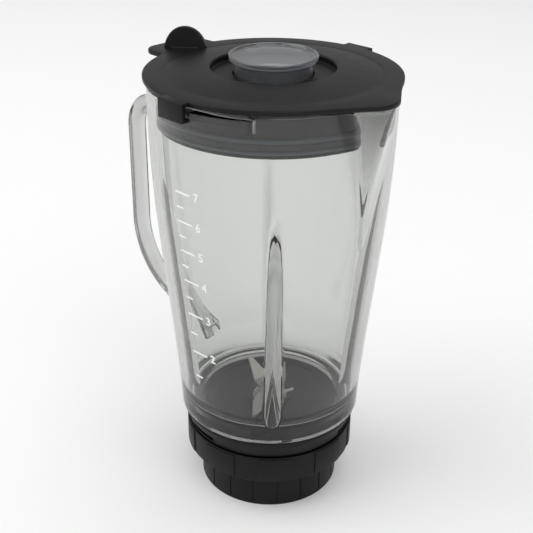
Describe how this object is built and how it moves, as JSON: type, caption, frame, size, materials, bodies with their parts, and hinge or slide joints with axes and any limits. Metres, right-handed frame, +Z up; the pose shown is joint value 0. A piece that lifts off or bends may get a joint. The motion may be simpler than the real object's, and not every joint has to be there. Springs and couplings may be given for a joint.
{
  "type": "blender jug",
  "caption": "Tall glass blender jug with handle and spout, black lid with filler cap, and locked blade unit underneath.",
  "frame": {"origin": "centre of the base skirt's lower edge, on the jug's axis", "axes": "+Z up along the jug's axis, spout towards +X, handle towards -X"},
  "size_m": [0.2141, 0.1572, 0.2872],
  "materials": {
    "glass": "clear pressed glass",
    "black_plastic": "satin moulded",
    "lid_plastic": "fine satin moulded",
    "smoke_plastic": "clear smoke-grey moulded",
    "silicone": "translucent moulded silicone",
    "black_rubber": "moulded",
    "steel": "turned",
    "blade_steel": "stamped and ground",
    "bronze": "sintered"
  },
  "bodies": {
    "jug": {"glass_jug": "glass", "jug_collar": "black_plastic", "blade_base": "black_plastic", "base_seal": "silicone", "bearing_sleeve": "steel", "bearing_washer": "steel", "bearing_nut": "steel", "upper_bush": "bronze", "lower_bush": "bronze", "shaft_seal": "black_rubber"},
    "ring": {"locking_ring": "black_plastic"},
    "rotor": {"blade_shaft": "steel", "circlip": "steel", "thrust_washer": "steel", "lower_blade": "blade_steel", "blade_spacer": "steel", "upper_blade": "blade_steel", "lock_washer": "steel", "blade_nut": "steel", "drive_coupling": "black_rubber", "coupling_insert": "bronze"},
    "seal": {"lid_seal": "silicone"},
    "lid": {"lid": "lid_plastic"},
    "cap": {"filler_cap": "smoke_plastic"}
  },
  "joints": [
    {"name": "blade_spin", "type": "hinge", "parent": "jug", "child": "rotor", "pos_m": [0, 0, 0.04], "axis": [0, 0, 1], "continuous": true},
    {"name": "ring_turn", "type": "hinge", "parent": "jug", "child": "ring", "pos_m": [0, 0, 0.035], "axis": [0, 0, 1], "range_deg": [-32, 0]},
    {"name": "lid_lift", "type": "slide", "parent": "jug", "child": "seal", "axis": [0, 0, 1], "range_m": [0, 0.1]},
    {"name": "lid_turn", "type": "hinge", "parent": "seal", "child": "lid", "pos_m": [0, 0, 0.26], "axis": [0, 0, 1], "range_deg": [0, 25]},
    {"name": "cap_lift", "type": "slide", "parent": "lid", "child": "cap", "axis": [0, 0, 1], "range_m": [0, 0.06]}
  ]
}
